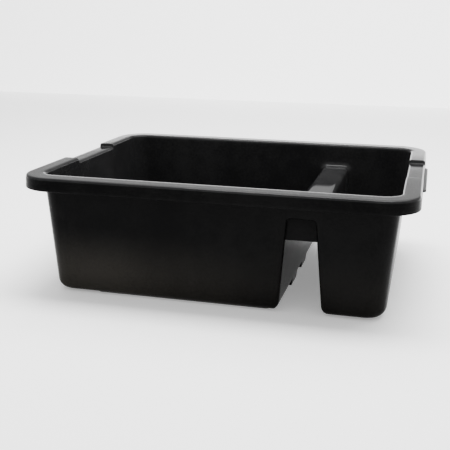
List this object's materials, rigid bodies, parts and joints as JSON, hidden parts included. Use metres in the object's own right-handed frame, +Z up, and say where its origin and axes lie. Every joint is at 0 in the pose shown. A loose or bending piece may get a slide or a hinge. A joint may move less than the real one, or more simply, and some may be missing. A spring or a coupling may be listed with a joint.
{
  "type": "mortar mixing tub",
  "caption": "Open rectangular mortar tub: a wide and a narrow basin joined by a low saddle, under a broad rim with a lowered hand grip at each end.",
  "frame": {"origin": "on the floor, under the centre of the rim", "axes": "+X along the tub from the wide basin's end to the narrow basin's end, +Y from front to rear, +Z up"},
  "size_m": [0.61, 0.48, 0.19],
  "materials": {
    "satin_black_plastic": "satin, finely moulded",
    "polished_black_plastic": "semi-gloss, smooth from the mould"
  },
  "bodies": {
    "root": {"wide_basin": "polished_black_plastic", "narrow_basin": "polished_black_plastic", "upper_wall": "polished_black_plastic", "saddle_deck": "polished_black_plastic", "front_web": "satin_black_plastic", "rear_web": "satin_black_plastic", "front_rim": "satin_black_plastic", "rear_rim": "satin_black_plastic", "left_rim": "satin_black_plastic", "right_rim": "satin_black_plastic", "left_grip_lip": "satin_black_plastic", "right_grip_lip": "satin_black_plastic", "front_long_pad": "satin_black_plastic", "rear_long_pad": "satin_black_plastic", "left_end_front_pad": "satin_black_plastic", "left_end_rear_pad": "satin_black_plastic", "gap_side_front_pad": "satin_black_plastic", "gap_side_rear_pad": "satin_black_plastic", "narrow_basin_front_pad": "satin_black_plastic", "narrow_basin_rear_pad": "satin_black_plastic"}
  },
  "joints": []
}
